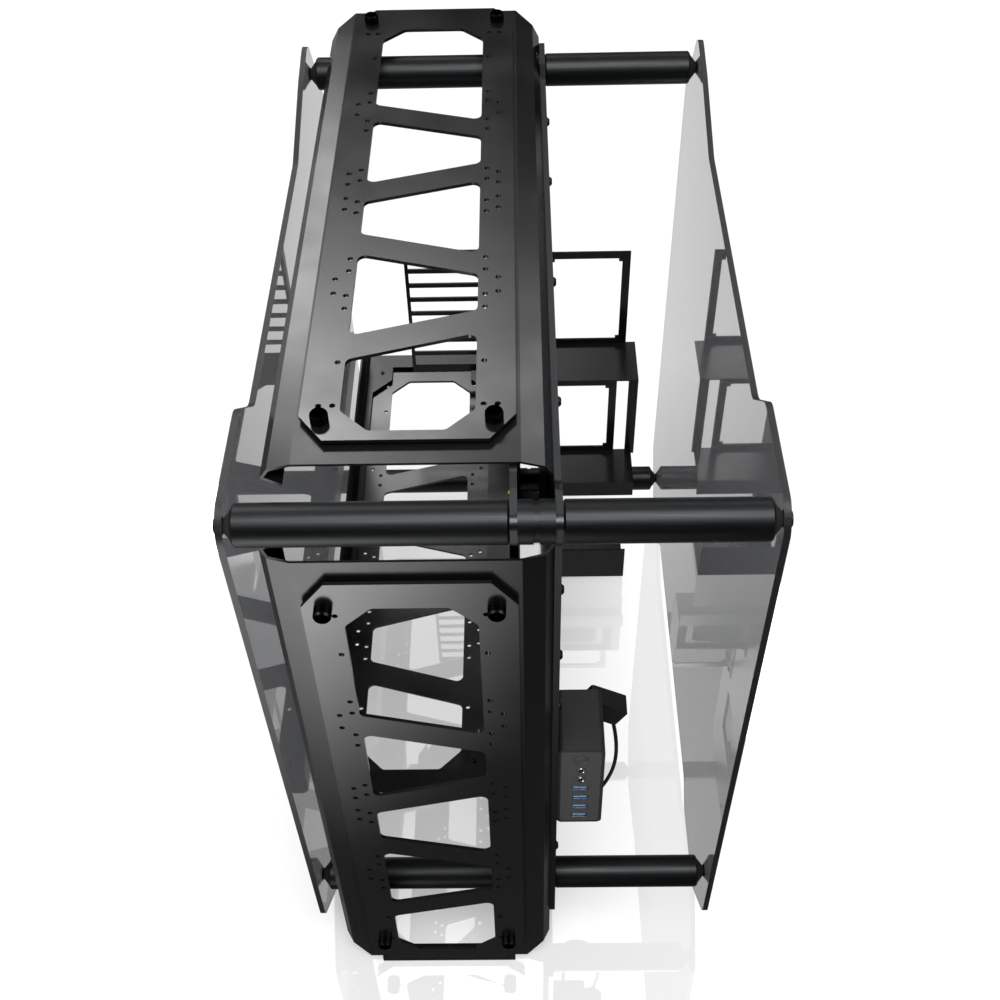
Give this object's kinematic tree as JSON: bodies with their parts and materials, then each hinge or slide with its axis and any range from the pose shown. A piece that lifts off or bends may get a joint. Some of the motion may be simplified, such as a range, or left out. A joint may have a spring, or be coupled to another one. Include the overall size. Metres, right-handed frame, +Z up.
{
  "type": "open-frame computer case",
  "caption": "Upright open-frame computer case: smoked glass sides on cross tubes, slotted fan panels at the top, front and bottom, a motherboard tray, cages and a front connector box.",
  "frame": {"origin": "on the floor under the middle of the case's box", "axes": "+Z up, -Y out of the front panel, +X to the right as seen from the front"},
  "size_m": [0.379, 0.699, 0.672],
  "materials": {
    "coated_sheet": "satin black powder coat on folded steel",
    "coated_panel": "satin black powder coat on flat steel",
    "anodised_plate": "black anodised plate",
    "anodised_tube": "dark anodised, turned",
    "smoked_glass": "smoked tempered glass, polished edges",
    "black_screws": "black zinc",
    "steel_studs": "plain steel",
    "brass_standoffs": "turned",
    "knob_aluminium": "black anodised",
    "black_rubber": "moulded",
    "grey_plastic": "moulded, fine texture",
    "button_plastic": "moulded",
    "black_plastic": "moulded",
    "port_steel": "pressed and plated",
    "blue_plastic": "moulded",
    "circuit_board": "solder mask",
    "cable_jacket": "extruded jacket"
  },
  "bodies": {
    "case": {"audio_jacks": "black_plastic", "base_cage": "coated_sheet", "base_foot_pads": "black_rubber", "board_standoffs": "brass_standoffs", "bottom_bracket": "coated_sheet", "bottom_knobs": "knob_aluminium", "bottom_panel": "coated_panel", "bottom_standoffs": "knob_aluminium", "box_face": "grey_plastic", "box_screws": "black_screws", "box_shell": "grey_plastic", "bracket_screws": "black_screws", "button_switch": "black_plastic", "cable_grommets": "black_rubber", "cable_plug": "black_plastic", "cage_screws": "black_screws", "connector_board": "circuit_board", "connector_cable": "cable_jacket", "drive_cage": "coated_sheet", "front_bottom_spacer": "anodised_tube", "front_bottom_tube_left": "anodised_tube", "front_bottom_tube_right": "anodised_tube", "front_bracket": "coated_sheet", "front_foot_strip": "black_rubber", "front_knobs": "knob_aluminium", "front_panel": "coated_panel", "front_standoffs": "knob_aluminium", "front_top_spacer": "anodised_tube", "front_top_tube_left": "anodised_tube", "front_top_tube_right": "anodised_tube", "left_glass": "smoked_glass", "left_glass_screws": "black_screws", "main_plate": "anodised_plate", "motherboard_tray": "anodised_plate", "rear_bottom_spacer": "anodised_tube", "rear_bottom_tube_left": "anodised_tube", "rear_bottom_tube_right": "anodised_tube", "rear_foot": "black_rubber", "rear_top_spacer": "anodised_tube", "rear_top_tube_left": "anodised_tube", "rear_top_tube_right": "anodised_tube", "right_glass": "smoked_glass", "right_glass_screws": "black_screws", "slot_frame": "coated_sheet", "slot_frame_screws": "black_screws", "supply_cage": "coated_sheet", "top_bracket": "coated_sheet", "top_knobs": "knob_aluminium", "top_panel": "coated_panel", "top_standoffs": "knob_aluminium", "tube_studs": "steel_studs", "tube_washers": "black_rubber", "usb_ports": "port_steel", "usb_tongues": "blue_plastic"},
    "button": {"power_button": "button_plastic"}
  },
  "joints": [
    {"name": "power_button_press", "type": "slide", "parent": "case", "child": "button", "axis": [0, 1, 0], "range_m": [0, 0.001], "stiffness_N_per_m": 600, "springref_m": -0.001}
  ]
}
